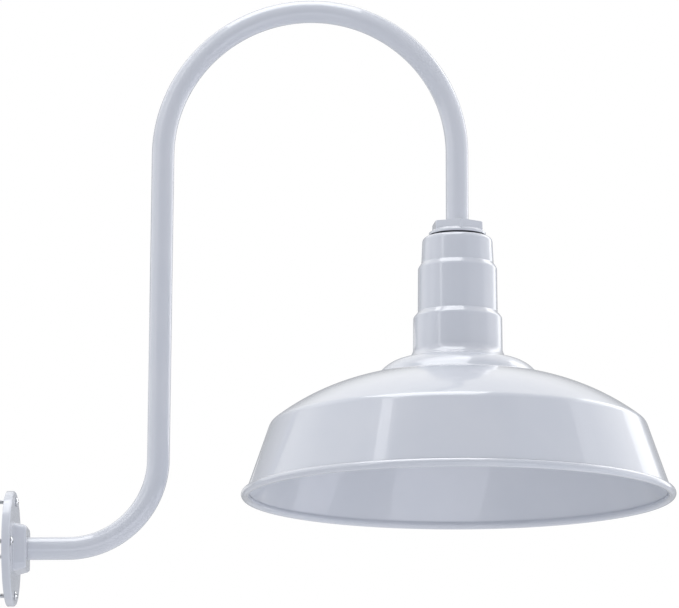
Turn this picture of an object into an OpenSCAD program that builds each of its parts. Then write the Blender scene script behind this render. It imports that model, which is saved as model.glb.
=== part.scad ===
// Barn light on a gooseneck arm, in millimetres, +Z up.
// The origin is the centre of the wall flange's back face.
// +X points out from the wall, and the arm bends in the X-Z plane.

/* [Wall flange] */
// diameter of the round wall plate
flange_d = 108; // [104:1:120]
// thickness of the wall plate
flange_thick = 7.7; // [6:0.1:10]
// bevel around the plate's front edge
flange_bevel = 1.2; // [0.6:0.1:2]
// width of the plate's rim around the gasket recess
flange_rim = 3.5; // [2.5:0.1:4.5]
// thickness of the gasket, and depth of its recess
flange_gasket_t = 2.5; // [1.5:0.1:3]
// opening in the gasket for the wires
gasket_opening_d = 40; // [20:1:60]
// side of the square boss where it meets the plate
boss_w = 46; // [42:1:50]
// height of the boss above the plate
boss_h = 11.9; // [9:0.1:16]
// taper of the boss's sides, in degrees
boss_taper = 14.5; // [8:0.5:18]
// corner radius of the boss at the plate
boss_corner = 8; // [5:0.5:10]
// corner radius of the boss at its front
boss_top_corner = 5.5; // [3:0.5:7]
// width of the chamfer around the boss's front
boss_chamfer = 1.4; // [0.8:0.1:2]
// fillet in the corner between the boss and the plate
boss_fillet = 1; // [0.5:0.1:1.5]
// depth of the open step around the pipe at the boss's front
boss_step = 0.8; // [0.4:0.1:1.2]

/* [Wall screws] */
// distance from a wall screw's centre to the plate's edge
screw_inset = 9.55; // [9:0.05:12]
// turn of the wall screws from a screw straight above, in degrees
screw_turn = 1.5; // [0:0.5:30]
// diameter of a wall screw's thread, behind the plate
wall_screw_d = 4.2; // [3.5:0.1:4.6]
// diameter of a wall screw's plain neck, in the plate
wall_neck_d = 3.6; // [3:0.1:3.8]
// length of a wall screw under its head
wall_screw_len = 25; // [20:1:40]
// diameter of a wall screw's head
wall_head_d = 9; // [8:0.1:10]
// height of a wall screw's head
wall_head_h = 2.6; // [2:0.1:3.2]

/* [Set screw] */
// diameter of the screw that locks the pipe in the boss
set_screw_d = 5; // [4:0.5:6]
// length of that screw
set_screw_len = 11; // [8:0.5:14]

/* [Pipe arm] */
// outside diameter of the pipe
pipe_d = 21.3; // [19:0.1:23]
// wall of the pipe
pipe_wall = 2.65; // [2:0.05:3]
// distance from the wall to the start of the lower bend
wall_run = 56.8; // [45:0.1:90]
// bend radius of the lower bend, at the pipe's centre
lower_bend_r = 84.3; // [60:0.1:120]
// lean of the upright away from the wall, in degrees
upright_lean = 0.5; // [0:0.1:2]
// straight length of the upright
upright_len = 292.5; // [220:0.5:400]
// bend radius of the top bend, at the pipe's centre
top_bend_r = 139.3; // [125:0.1:200]
// straight length of the drop, down to the pipe's end in the hub
drop_len = 86; // [60:0.1:140]
// growth of the pipe's wall on its bends, on each face
bend_swell = 0.05; // [0.03:0.01:0.1]
// length by which a straight reaches into a bend
section_lap = 0.5; // [0.3:0.1:0.8]

/* [Hub] */
// width across the flats of the hexagon
hex_af = 44.5; // [42:0.1:46]
// height of the hexagon, with the flange at its foot
hex_h = 9.4; // [8:0.1:12]
// diameter of the sloped flange at the hexagon's foot
hex_flange_d = 51.8; // [49:0.1:53]
// height of the sloped flange
hex_flange_h = 2.3; // [1.5:0.1:3]
// slope of the flange's side, in degrees from upright
hex_flange_slope = 41; // [30:1:50]
// turn of the hexagon from a corner straight to the front, in degrees
hex_turn = 8.6; // [0:0.2:30]
// outside diameter of the threaded barrel
barrel_d = 28; // [27:0.5:30]
// reach of the barrel below the shade's top
barrel_drop = 14; // [13.5:0.5:17]
// depth of the pipe's seat in the hub
pipe_grip = 18.4; // [15:0.1:21]
// diameter of the wires' passage below the pipe
wire_passage_d = 16; // [13:0.5:16]
// diameter of the flat washer under the hexagon
washer_d = 53.8; // [52:0.1:56]
// thickness of the flat washer under the hexagon
washer_h = 2.2; // [1.6:0.1:3]
// diameter of the rubber ring under that washer
hub_gasket_d = 50; // [44:0.5:52]
// thickness of the rubber ring
hub_gasket_t = 2; // [1:0.1:2.5]
// diameter of the flat washer inside the neck
inner_washer_d = 40; // [36:1:46]
// thickness of the flat washer inside the neck
inner_washer_t = 1.5; // [1:0.1:2]
// width across the flats of the locknut
locknut_af = 36; // [34:0.5:38]
// height of the locknut
locknut_h = 6; // [5:0.5:7]

/* [Shade neck] */
// thickness of the spun sheet
sheet_t = 1.2; // [0.9:0.05:1.5]
// radius of the neck below its top edge
neck_r = 33.1; // [31:0.1:36]
// rounding of the neck's top edge
neck_top_round = 5; // [4:0.1:5.5]
// height of the upper step
step_1_h = 25.4; // [22:0.1:34]
// height of the middle step
step_2_h = 46.8; // [38:0.1:58]
// height of the lower step, down to the top of the flare
step_3_h = 45.4; // [36:0.1:54]
// draft of the upper step, in degrees
step_1_draft = 2.8; // [0:0.1:4]
// draft of the middle and lower steps, in degrees
step_draft = 0.5; // [0:0.1:1.5]
// width of the sloped shoulder between the upper and middle steps
shoulder_1_w = 3.1; // [2.8:0.1:6]
// slope of the upper shoulder, in degrees from upright
shoulder_1_slope = 34; // [30:1:48]
// rounding of the upper shoulder's outer edge
shoulder_1_round = 5.2; // [3:0.1:6]
// width of the sloped shoulder between the middle and lower steps
shoulder_2_w = 4.2; // [3.6:0.1:7]
// slope of the lower shoulder, in degrees from upright
shoulder_2_slope = 39; // [32:1:50]
// rounding of the lower shoulder's outer edge
shoulder_2_round = 4.1; // [2.5:0.1:6]
// fillet in the corner above each shoulder
shoulder_fillet = 1; // [0.6:0.1:1.5]

/* [Shade dome and skirt] */
// fillet between the neck and the flare
flare_fillet = 11; // [6:0.5:14]
// radius of the flare's arc, in section
flare_arc_r = 33.7; // [30:0.1:40]
// radius of the crease between flare and dome
crease_r = 76.2; // [73:0.1:82]
// fall from the top of the flare to the crease
crease_drop = 16.1; // [13:0.1:19]
// bulge of the dome's arc above its chord, in section
dome_bulge = 6.9; // [5:0.1:10]
// radius of the ridge between dome and skirt
ridge_r = 176.3; // [168:0.1:184]
// fall from the crease to the ridge
ridge_drop = 45.1; // [38:0.1:56]
// rounding of the ridge, in section
ridge_round = 12; // [6:0.5:16]
// outside diameter of the rolled rim
rim_d = 406.4; // [390:0.1:430]
// fall from the ridge to the middle of the rolled rim
rim_drop = 66.6; // [55:0.1:85]
// thickness of the rolled rim
bead_d = 7.6; // [6.4:0.1:9]
// rounding where the skirt turns in to the rolled rim
rim_neck_round = 3; // [2.4:0.1:4]
// how far the sheet is rolled round in the rim, in degrees
curl_turn = 312; // [270:1:315]

/* [Lamp socket] */
// thickness of the bracket's strap
strap_t = 1.5; // [1:0.1:2]
// width of the bracket's strap
strap_w = 16; // [12:0.5:18]
// distance between the bracket's legs, over their outer faces
strap_span = 50; // [48:0.5:52]
// height of the bracket's legs
strap_leg_h = 32.8; // [29:0.1:40]
// outer radius of the bracket's bends
strap_bend = 3.5; // [2.5:0.1:5]
// length of the bracket's feet
foot_len = 14; // [13:0.5:15]
// distance between the bracket's foot screws
foot_screw_span = 36; // [33:0.5:36]
// diameter of the foot screws
foot_screw_d = 3.5; // [3:0.1:4]
// diameter of the ceramic body
socket_d = 44; // [43:0.5:48]
// height of the ceramic body
socket_h = 46.5; // [44:0.5:52]
// height of the ceramic body's wider head
socket_head_h = 9; // [6:0.5:12]
// inset of the ceramic body below its head
socket_inset = 1.8; // [1:0.1:3]
// depth of the lamp's cavity in the ceramic body
socket_cavity = 30; // [29:0.5:31]
// distance between the two terminal screws
terminal_span = 30; // [28:0.5:33]
// diameter of the terminal and ground screws
terminal_screw_d = 3.2; // [2.8:0.1:3.6]
// diameter of the heads of the small screws
small_head_d = 6.4; // [5.5:0.1:7]
// height of the heads of the small screws
small_head_h = 2; // [1.5:0.1:2.4]
// height of the ground screw below the bracket's plate
ground_screw_drop = 19; // [17:0.5:22]

/* [Lamp] */
// diameter of the lamp's screw base
lamp_screw_d = 26; // [25:0.1:27]
// height of the lamp's screw base
lamp_screw_h = 22; // [20:0.5:24]
// diameter of the lamp's tip contact
lamp_tip_d = 9.2; // [8:0.1:10]
// height of the lamp's tip contact
lamp_tip_h = 1.6; // [1:0.1:2]
// height of the ring that insulates the tip
lamp_ring_h = 2.2; // [1.5:0.1:3]
// diameter of the lamp's globe
globe_d = 60; // [52:1:66]
// wall of the lamp's globe
globe_wall = 1.2; // [0.8:0.1:2]
// height of the plastic body between screw base and globe
housing_h = 45; // [36:0.5:50]
// thickness of the light-emitting board
board_t = 1.6; // [1:0.1:2]
// diameter of the light-emitting board
board_d = 46; // [30:1:48]

/* [Wires] */
// diameter of an insulated wire
wire_d = 2.8; // [2:0.1:3]
// distance between neighbouring wires in the pipe
wire_pitch = 3.2; // [3.1:0.1:4]

/* [Clearances] */
// gap around a screw in a plain hole
screw_gap = 0.35; // [0.2:0.05:0.6]
// gap between two threads, and around a pressed piece
thread_gap = 0.05; // [0.03:0.01:0.1]
// gap around the pipe in the boss and in the hub
pipe_gap = 0.08; // [0.05:0.01:0.15]
// gap around the gasket in its recess
gasket_gap = 0.3; // [0.1:0.1:0.6]
// gap between the lamp's screw base and the shell
lamp_gap = 0.2; // [0.1:0.05:0.4]

/* [Hidden] */
$fn = 72;
slack = 1;

pipe_r = pipe_d / 2;
pipe_bore_r = pipe_r - pipe_wall;
barrel_r = barrel_d / 2;

screw_circle_d = flange_d - 2 * screw_inset;
wall_hole_r = wall_screw_d / 2 + screw_gap;

// places along the arm: each is [x, z]
pipe_start_x = flange_gasket_t + 1.5;
boss_front_x = flange_thick + boss_h;
lower_bend_at = [wall_run, lower_bend_r];
upright_dir = [sin(upright_lean), cos(upright_lean)];
upright_side = [cos(upright_lean), -sin(upright_lean)];
upright_from = lower_bend_at + lower_bend_r * upright_side;
upright_to = upright_from + upright_len * upright_dir;
top_bend_at = upright_to + top_bend_r * upright_side;
shade_x = top_bend_at[0] + top_bend_r;
pipe_end_z = top_bend_at[1] - drop_len;

// the stack at the hub, measured from the shade's top
hex_base = washer_h + hub_gasket_t;
shade_top_z = pipe_end_z + pipe_grip - hex_h - hex_base;
pipe_end = pipe_end_z - shade_top_z;
bracket_top = -sheet_t - inner_washer_t;
locknut_top = bracket_top - strap_t;
socket_top = bracket_top - strap_leg_h;
socket_floor = socket_top - socket_h + socket_cavity;
foot_top = socket_top + strap_t;
ground_z = locknut_top - ground_screw_drop;
bracket_screw_len = 9;
terminal_screw_len = 7;
ground_screw_len = 4;

// the wires, from the flange's back to their turn below the hub's barrel
wire_start_x = 1;
wire_turn_z = -barrel_drop - 5;
terminal_top = socket_top + small_head_h;

// the lamp, measured from the shade's top
shell_t = 0.4;
contact_t = 1.2;
shell_in_r = lamp_screw_d / 2 + lamp_gap;
shell_out_r = shell_in_r + shell_t;
lamp_top = socket_floor - contact_t;
ring_top = lamp_top - lamp_tip_h;
base_top = ring_top - lamp_ring_h;
housing_top = base_top - lamp_screw_h;
globe_top = housing_top - housing_h;
globe_cut = globe_d * 0.15;
globe_z = globe_top - globe_cut;
globe_mouth_r = sqrt(pow(globe_d / 2, 2) - pow(globe_cut, 2));

function unit(a) = [cos(a), sin(a)];
function side(a) = [-sin(a), cos(a)];
function angle_of(v) = atan2(v[1], v[0]);
function arc_steps(r, sweep) = max(3, ceil(abs(sweep) / (abs(r) > 20 ? 3 : 9)));

// a bend is [centre, radius, first angle, last angle]; a negative radius is a hollow bend
function bend_points(b, t) =
    let (n = arc_steps(b[1], b[3] - b[2]))
    [for (i = [0 : n]) b[0] + (b[1] - t) * unit(b[2] + (b[3] - b[2]) * i / n)];

// a wall in section is [angle of its outer normal, distance from the origin along that normal]
function wall_through(p, a) = [a, p * unit(a)];
function moved(w, by) = [w[0], w[1] + by];
function crossing(v, w) =
    [v[1] * sin(w[0]) - w[1] * sin(v[0]), w[1] * cos(v[0]) - v[1] * cos(w[0])] / sin(w[0] - v[0]);

// the bend that joins two walls
function bend_between(v, w, r) = [crossing(moved(v, -r), moved(w, -r)), r, v[0], w[0]];

// the point of a wall that lies at distance r above c
function on_wall(w, c, r) =
    let (across = w[1] - c * unit(w[0]))
    c + across * unit(w[0]) + sqrt(r * r - across * across) * side(w[0]);

// upper step of the neck, from its rounded top edge down to the upper shoulder
top_edge = [neck_r - neck_top_round, -neck_top_round];
wall_1 = wall_through(top_edge + neck_top_round * unit(step_1_draft), step_1_draft);
from_1 = crossing(wall_1, [90, -step_1_h]);
shoulder_1 = wall_through(from_1, shoulder_1_slope);

// middle step, down to the lower shoulder
wall_2 = wall_through(from_1 + shoulder_1_w * [1, -1 / tan(shoulder_1_slope)], step_draft);
from_2 = crossing(wall_2, [90, -step_1_h - step_2_h]);
shoulder_2 = wall_through(from_2, shoulder_2_slope);

// lower step, down to the fillet on the flare
wall_3 = wall_through(from_2 + shoulder_2_w * [1, -1 / tan(shoulder_2_slope)], step_draft);
flare_top_z = -step_1_h - step_2_h - step_3_h;
crease = [crease_r, flare_top_z - crease_drop];
flare_reach = sqrt(pow(flare_arc_r, 2) - pow(flare_arc_r - crease_drop, 2));
flare_at = [crease_r - flare_reach, flare_top_z - flare_arc_r];
flare_foot = on_wall(moved(wall_3, flare_fillet), flare_at, flare_arc_r + flare_fillet);
flare_a = angle_of(flare_foot - flare_at);

// dome, from the crease to the ridge
ridge = [ridge_r, crease[1] - ridge_drop];
dome_chord = ridge - crease;
dome_r = (dome_chord * dome_chord / 4 + dome_bulge * dome_bulge) / (2 * dome_bulge);
dome_up = [-dome_chord[1], dome_chord[0]] / norm(dome_chord);
dome_at = (ridge + crease) / 2 - (dome_r - dome_bulge) * dome_up;

// skirt, from the ridge to the middle of the rolled rim
bead_r = bead_d / 2;
bead_at = [rim_d / 2 - bead_r, ridge[1] - rim_drop];
skirt_a = atan2(bead_at[0] - ridge[0], ridge[1] - bead_at[1]);
skirt_wall = wall_through(bead_at, skirt_a);
ridge_at = on_wall(moved(skirt_wall, -ridge_round), dome_at, dome_r - ridge_round);
ridge_a = angle_of(ridge_at - dome_at);
curl_a = skirt_a - acos(rim_neck_round / (rim_neck_round + bead_r - sheet_t));
rim_neck_at = bead_at - (rim_neck_round + bead_r - sheet_t) * unit(curl_a);

shade_bends = [
    [top_edge, neck_top_round, 90, step_1_draft],
    bend_between(wall_1, shoulder_1, -shoulder_fillet),
    bend_between(shoulder_1, wall_2, shoulder_1_round),
    bend_between(wall_2, shoulder_2, -shoulder_fillet),
    bend_between(shoulder_2, wall_3, shoulder_2_round),
    [flare_foot, -flare_fillet, step_draft, flare_a],
    [flare_at, flare_arc_r, flare_a, angle_of(crease - flare_at)],
    [dome_at, dome_r, angle_of(crease - dome_at), ridge_a],
    [ridge_at, ridge_round, ridge_a, skirt_a],
    [rim_neck_at, rim_neck_round, skirt_a, curl_a],
    [bead_at, sheet_t - bead_r, curl_a, curl_a + curl_turn]
];

module at_shade() {
    translate([shade_x, 0, shade_top_z])
        children();
}

module ring(outer_r, inner_r, h) {
    difference() {
        cylinder(r = outer_r, h = h);
        translate([0, 0, -slack])
            cylinder(r = inner_r, h = h + 2 * slack);
    }
}

module hexagon(af, h) {
    cylinder(r = af / 2 / cos(30), h = h, $fn = 6);
}

// a hexagon with its upper corners turned off to a given depth
module turned_hexagon(af, h, turned) {
    face_r = af / 2 / cos(30) - turned;
    intersection() {
        hexagon(af, h);
        cylinder(r1 = face_r + h / tan(30), r2 = face_r, h = h);
    }
}

// a hexagon with the corners of both faces turned off
module twice_turned_hexagon(af, h, turned) {
    intersection() {
        turned_hexagon(af, h, turned);
        translate([0, 0, h])
            rotate([180, 0, 0])
                turned_hexagon(af, h, turned);
    }
}

module rounded_plate(w, corner, h) {
    at = w / 2 - corner;
    hull() {
        for (x = [-at, at])
            for (y = [-at, at])
                translate([x, y, 0])
                    cylinder(r = corner, h = h);
    }
}

// a thin slice of the boss at angle a of the fillet around its foot
module boss_foot(a) {
    z = boss_fillet * (1 - cos(a));
    grow = boss_fillet * (1 - sin(a)) - z * tan(boss_taper);
    translate([0, 0, z])
        rounded_plate(boss_w + 2 * grow, boss_corner + grow, 0.01);
}

// a tapered square boss that stands on z = 0, with a fillet around its foot
module boss() {
    narrowing = boss_h * tan(boss_taper);
    front_w = boss_w - 2 * narrowing;
    foot_steps = 3;
    for (i = [1 : foot_steps])
        hull() {
            boss_foot(90 * (i - 1) / foot_steps);
            boss_foot(90 * i / foot_steps);
        }
    hull() {
        rounded_plate(boss_w, boss_corner, 0.01);
        translate([0, 0, boss_h - boss_chamfer])
            rounded_plate(front_w + 0.4, boss_top_corner, 0.01);
        translate([0, 0, boss_h - 0.01])
            rounded_plate(front_w - boss_chamfer, boss_top_corner, 0.01);
    }
}

module at_wall_screws() {
    for (i = [0 : 3])
        rotate([90 * i - screw_turn, 0, 0])
            translate([flange_thick, 0, screw_circle_d / 2])
                rotate([0, 90, 0])
                    children();
}

module wall_flange() {
    recess_r = flange_d / 2 - flange_rim;
    color([0.86, 0.87, 0.9])
        difference() {
            rotate([0, 90, 0])
                union() {
                    cylinder(d = flange_d, h = flange_thick - flange_bevel);
                    translate([0, 0, flange_thick - flange_bevel])
                        cylinder(d1 = flange_d, d2 = flange_d - 2 * flange_bevel, h = flange_bevel);
                    translate([0, 0, flange_thick])
                        boss();
                }
            translate([-slack, 0, 0])
                rotate([0, 90, 0])
                    cylinder(r = recess_r, h = flange_gasket_t + slack);
            rotate([0, 90, 0])
                cylinder(d = wire_passage_d, h = boss_front_x);
            translate([pipe_start_x, 0, 0])
                rotate([0, 90, 0])
                    cylinder(r = pipe_r + pipe_gap, h = boss_front_x);
            translate([boss_front_x - boss_step, 0, 0])
                rotate([0, 90, 0])
                    cylinder(r = pipe_r + boss_step, h = boss_step + slack);
            at_wall_screws()
                translate([0, 0, -flange_thick - slack])
                    cylinder(r = wall_hole_r, h = flange_thick + 2 * slack);
            at_set_screw()
                cylinder(r = set_screw_d / 2 + thread_gap, h = boss_w);
        }
}

module at_set_screw() {
    translate([flange_thick + boss_h * 0.45, 0, 0])
        rotate([-90, 0, 0])
            children();
}

module arm_set_screw() {
    slot_w = 1;
    point_h = 0.8;
    tip = pipe_r + 0.02;
    color([0.6, 0.61, 0.63])
        at_set_screw()
            difference() {
                union() {
                    translate([0, 0, tip])
                        cylinder(d1 = set_screw_d - 2 * point_h, d2 = set_screw_d, h = point_h);
                    translate([0, 0, tip + point_h])
                        cylinder(d = set_screw_d, h = set_screw_len - point_h);
                }
                translate([-set_screw_d, -slot_w / 2, tip + set_screw_len - 1.5])
                    cube([2 * set_screw_d, slot_w, 3]);
            }
}

module flange_gasket() {
    color([0.12, 0.12, 0.13])
        difference() {
            rotate([0, 90, 0])
                ring(flange_d / 2 - flange_rim - gasket_gap, gasket_opening_d / 2, flange_gasket_t);
            at_wall_screws()
                translate([0, 0, -flange_thick - slack])
                    cylinder(r = wall_hole_r, h = flange_thick + 2 * slack);
        }
}

// a domed head of radius r and height h that stands on z = 0
module domed_head(r, h) {
    edge_h = h * 0.3;
    cap_h = h - edge_h;
    dome_r = (r * r + cap_h * cap_h) / (2 * cap_h);
    rotate_extrude($fn = 48)
        polygon(concat(
            [[0, 0], [r, 0]],
            bend_points([[0, h - dome_r], dome_r, asin((dome_r - cap_h) / dome_r), 90], 0)));
}

module flange_screws() {
    cross_w = 1;
    color([0.85, 0.86, 0.88])
        at_wall_screws()
            difference() {
                union() {
                    translate([0, 0, -wall_screw_len])
                        cylinder(d = wall_screw_d, h = wall_screw_len - flange_thick);
                    translate([0, 0, -flange_thick])
                        cylinder(d = wall_neck_d, h = flange_thick);
                    domed_head(wall_head_d / 2, wall_head_h);
                }
                translate([0, 0, wall_head_h])
                    cube([wall_head_d * 0.55, cross_w, 3], center = true);
                translate([0, 0, wall_head_h])
                    cube([cross_w, wall_head_d * 0.55, 3], center = true);
            }
}

// a straight section, open if it has a bore, that stands on z = 0
module straight_section(r, bore_r, len) {
    difference() {
        cylinder(r = r, h = len);
        if (bore_r > 0)
            translate([0, 0, -slack])
                cylinder(r = bore_r, h = len + 2 * slack);
    }
}

// a bent section in the X-Z plane, from the +X side of its centre upwards
module bent_section(r, bore_r, bend_r, sweep) {
    rotate([90, 0, 0])
        rotate_extrude(angle = sweep)
            translate([bend_r, 0])
                difference() {
                    circle(r = r + bend_swell);
                    if (bore_r > 0)
                        circle(r = bore_r - bend_swell);
                }
}

// the whole path of the arm, for the pipe and for the wires in it
module along_arm(r, bore_r, from_x, to_z) {
    translate([from_x, 0, 0])
        rotate([0, 90, 0])
            straight_section(r, bore_r, wall_run - from_x + section_lap);
    translate([lower_bend_at[0], 0, lower_bend_at[1]])
        rotate([0, 90, 0])
            bent_section(r, bore_r, lower_bend_r, 90 - upright_lean);
    translate([upright_from[0], 0, upright_from[1]])
        rotate([0, upright_lean, 0])
            translate([0, 0, -section_lap])
                straight_section(r, bore_r, upright_len + 2 * section_lap);
    translate([top_bend_at[0], 0, top_bend_at[1]])
        bent_section(r, bore_r, top_bend_r, 180 - upright_lean);
    translate([shade_x, 0, to_z])
        straight_section(r, bore_r, top_bend_at[1] - to_z + section_lap);
}

module gooseneck_arm() {
    color([0.86, 0.87, 0.9])
        along_arm(pipe_r, pipe_bore_r, pipe_start_x, pipe_end_z);
}

module hex_hub() {
    corner_turn = 1;
    flange_top_r = hex_flange_d / 2 - hex_flange_h * tan(hex_flange_slope);
    color([0.86, 0.87, 0.9])
        at_shade()
            difference() {
                union() {
                    translate([0, 0, hex_base])
                        rotate([0, 0, hex_turn - 90])
                            turned_hexagon(hex_af, hex_h, corner_turn);
                    translate([0, 0, hex_base])
                        cylinder(r1 = hex_flange_d / 2, r2 = flange_top_r, h = hex_flange_h);
                    translate([0, 0, -barrel_drop])
                        cylinder(r = barrel_r, h = barrel_drop + hex_base + slack);
                }
                translate([0, 0, -barrel_drop - slack])
                    cylinder(d = wire_passage_d, h = barrel_drop + hex_base + hex_h);
                translate([0, 0, pipe_end])
                    cylinder(r = pipe_r + pipe_gap, h = pipe_grip + slack);
            }
}

module hub_washer() {
    color([0.86, 0.87, 0.9])
        at_shade()
            translate([0, 0, hub_gasket_t])
                ring(washer_d / 2, barrel_r + screw_gap, washer_h);
}

module hub_gasket() {
    color([0.1, 0.1, 0.11])
        at_shade()
            ring(hub_gasket_d / 2, barrel_r + screw_gap, hub_gasket_t);
}

// the sheet's section: its outer face down to the rolled rim, then its inner face back up
module shade_section() {
    hole_r = barrel_r + screw_gap;
    last = len(shade_bends) - 1;
    outer = [for (b = shade_bends) each bend_points(b, 0)];
    inner = [for (i = [last : -1 : 0])
        let (p = bend_points(shade_bends[i], sheet_t))
        for (j = [len(p) - 1 : -1 : 0]) p[j]];
    polygon(concat([[hole_r, 0]], outer, inner, [[hole_r, -sheet_t]]));
}

module shade() {
    color([0.86, 0.87, 0.9])
        at_shade()
            rotate_extrude($fn = 120)
                shade_section();
}

module inner_washer() {
    color([0.7, 0.71, 0.73])
        at_shade()
            translate([0, 0, bracket_top])
                ring(inner_washer_d / 2, barrel_r + screw_gap, inner_washer_t);
}

module hub_locknut() {
    corner_turn = 3;
    color([0.7, 0.71, 0.73])
        at_shade()
            translate([0, 0, locknut_top - locknut_h])
                difference() {
                    twice_turned_hexagon(locknut_af, locknut_h, corner_turn);
                    translate([0, 0, -slack])
                        cylinder(r = barrel_r + thread_gap, h = locknut_h + 2 * slack);
                }
}

module at_foot_screws() {
    for (x = [-foot_screw_span / 2, foot_screw_span / 2])
        translate([x, 0, foot_top])
            children();
}

module at_ground_screw() {
    translate([strap_span / 2 - strap_t, 0, ground_z])
        rotate([0, 90, 0])
            children();
}

// side view of the strap on the socket's top: two feet, two legs and the plate, bent from one strip
module strap_section() {
    x = strap_span / 2 - strap_bend;
    high = strap_leg_h - strap_bend;
    bends = [
        [[x, strap_bend], strap_bend, -90, 0],
        [[x, high], strap_bend, 0, 90],
        [[-x, high], strap_bend, 90, 180],
        [[-x, strap_bend], strap_bend, 180, 270]
    ];
    between_feet = strap_span - 2 * foot_len;
    difference() {
        polygon([for (b = bends) each bend_points(b, 0)]);
        polygon([for (b = bends) each bend_points(b, strap_t)]);
        translate([-between_feet / 2, -slack])
            square([between_feet, 2 * slack + strap_t]);
    }
}

module socket_bracket() {
    plate_r = barrel_r + 5.5;
    color([0.72, 0.73, 0.75])
        at_shade()
            difference() {
                union() {
                    translate([0, 0, locknut_top])
                        cylinder(r = plate_r, h = strap_t);
                    translate([0, strap_w / 2, socket_top])
                        rotate([90, 0, 0])
                            linear_extrude(height = strap_w)
                                strap_section();
                }
                translate([0, 0, locknut_top - slack])
                    cylinder(r = barrel_r + screw_gap, h = strap_t + 2 * slack);
                at_foot_screws()
                    translate([0, 0, -strap_t - slack])
                        cylinder(r = foot_screw_d / 2 + screw_gap, h = strap_t + 2 * slack);
                at_ground_screw()
                    translate([0, 0, -slack])
                        cylinder(r = terminal_screw_d / 2 + thread_gap, h = strap_t + 2 * slack);
            }
}

// a small slotted screw: its head stands on z = 0 and its shank points down
module small_screw(d, len) {
    slot_w = 0.8;
    difference() {
        union() {
            cylinder(d = small_head_d, h = small_head_h);
            translate([0, 0, -len])
                cylinder(d = d, h = len);
        }
        translate([-small_head_d, -slot_w / 2, small_head_h - 0.8])
            cube([2 * small_head_d, slot_w, 2]);
    }
}

module bracket_screws() {
    color([0.75, 0.76, 0.78])
        at_shade()
            at_foot_screws()
                small_screw(foot_screw_d, bracket_screw_len);
}

module ground_screw() {
    color([0.1, 0.45, 0.2])
        at_shade()
            at_ground_screw()
                rotate([180, 0, 0])
                    small_screw(terminal_screw_d, ground_screw_len);
}

module at_terminals() {
    for (y = [-terminal_span / 2, terminal_span / 2])
        translate([0, y, socket_top])
            children();
}

module socket_body() {
    head_r = socket_d / 2;
    edge = 1.2;
    bottom = socket_top - socket_h;
    color([0.93, 0.92, 0.89])
        at_shade()
            difference() {
                rotate_extrude()
                    polygon([
                        [0, bottom],
                        [head_r - socket_inset - edge, bottom],
                        [head_r - socket_inset, bottom + edge],
                        [head_r - socket_inset, socket_top - socket_head_h],
                        [head_r, socket_top - socket_head_h + socket_inset],
                        [head_r, socket_top - edge],
                        [head_r - edge, socket_top],
                        [0, socket_top]
                    ]);
                translate([0, 0, bottom - slack])
                    cylinder(r = shell_out_r + thread_gap, h = socket_cavity + slack);
                at_foot_screws()
                    translate([0, 0, -bracket_screw_len - slack])
                        cylinder(r = foot_screw_d / 2 + thread_gap, h = bracket_screw_len + slack);
                at_terminals()
                    translate([0, 0, -terminal_screw_len - slack])
                        cylinder(r = terminal_screw_d / 2 + thread_gap, h = terminal_screw_len + 2 * slack);
            }
}

module screw_shell() {
    shell_h = socket_cavity - 3;
    color([0.8, 0.66, 0.36])
        at_shade()
            translate([0, 0, socket_floor - shell_h])
                difference() {
                    cylinder(r = shell_out_r, h = shell_h);
                    translate([0, 0, -slack])
                        cylinder(r = shell_in_r, h = shell_h - shell_t + slack);
                    cylinder(r = shell_in_r - 5, h = shell_h + slack);
                }
}

module centre_contact() {
    color([0.8, 0.66, 0.36])
        at_shade()
            translate([0, 0, lamp_top])
                cylinder(d = lamp_tip_d, h = contact_t);
}

module terminal_screws() {
    color([0.8, 0.66, 0.36])
        at_shade()
            at_terminals()
                small_screw(terminal_screw_d, terminal_screw_len);
}

// a wire between two points in the neck, with a round elbow at its start
module wire_link(from, to) {
    way = to - from;
    translate(from) {
        sphere(r = wire_d / 2 + bend_swell);
        rotate([0, atan2(norm([way[0], way[1]]), way[2]), atan2(way[1], way[0])])
            cylinder(d = wire_d, h = norm(way));
    }
}

module live_wire(way) {
    last = [0, way * terminal_span / 2, terminal_top + 2];
    translate([0, way * wire_pitch, 0])
        along_arm(wire_d / 2, 0, wire_start_x, shade_top_z + wire_turn_z);
    at_shade() {
        wire_link([0, way * wire_pitch, wire_turn_z], last);
        wire_link(last, last - [0, 0, 2]);
    }
}

module wire_black() {
    color([0.05, 0.05, 0.05])
        live_wire(-1);
}

module wire_white() {
    color([0.92, 0.92, 0.9])
        live_wire(1);
}

module wire_green() {
    head_x = strap_span / 2 - strap_t - small_head_h;
    color([0.1, 0.5, 0.2]) {
        along_arm(wire_d / 2, 0, wire_start_x, shade_top_z + ground_z);
        at_shade()
            wire_link([0, 0, ground_z], [head_x, 0, ground_z]);
    }
}

module lamp_base() {
    shoulder_h = 3;
    color([0.78, 0.78, 0.77])
        at_shade()
            translate([0, 0, housing_top])
                union() {
                    cylinder(d = lamp_screw_d, h = lamp_screw_h - shoulder_h);
                    translate([0, 0, lamp_screw_h - shoulder_h])
                        cylinder(d1 = lamp_screw_d, d2 = lamp_screw_d - 7, h = shoulder_h);
                }
}

module lamp_insulator() {
    color([0.06, 0.06, 0.06])
        at_shade()
            translate([0, 0, base_top])
                cylinder(d1 = lamp_screw_d - 7, d2 = lamp_tip_d + 1, h = lamp_ring_h);
}

module lamp_contact() {
    color([0.8, 0.66, 0.36])
        at_shade()
            translate([0, 0, ring_top])
                cylinder(d1 = lamp_tip_d, d2 = lamp_tip_d - 3, h = lamp_tip_h);
}

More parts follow.
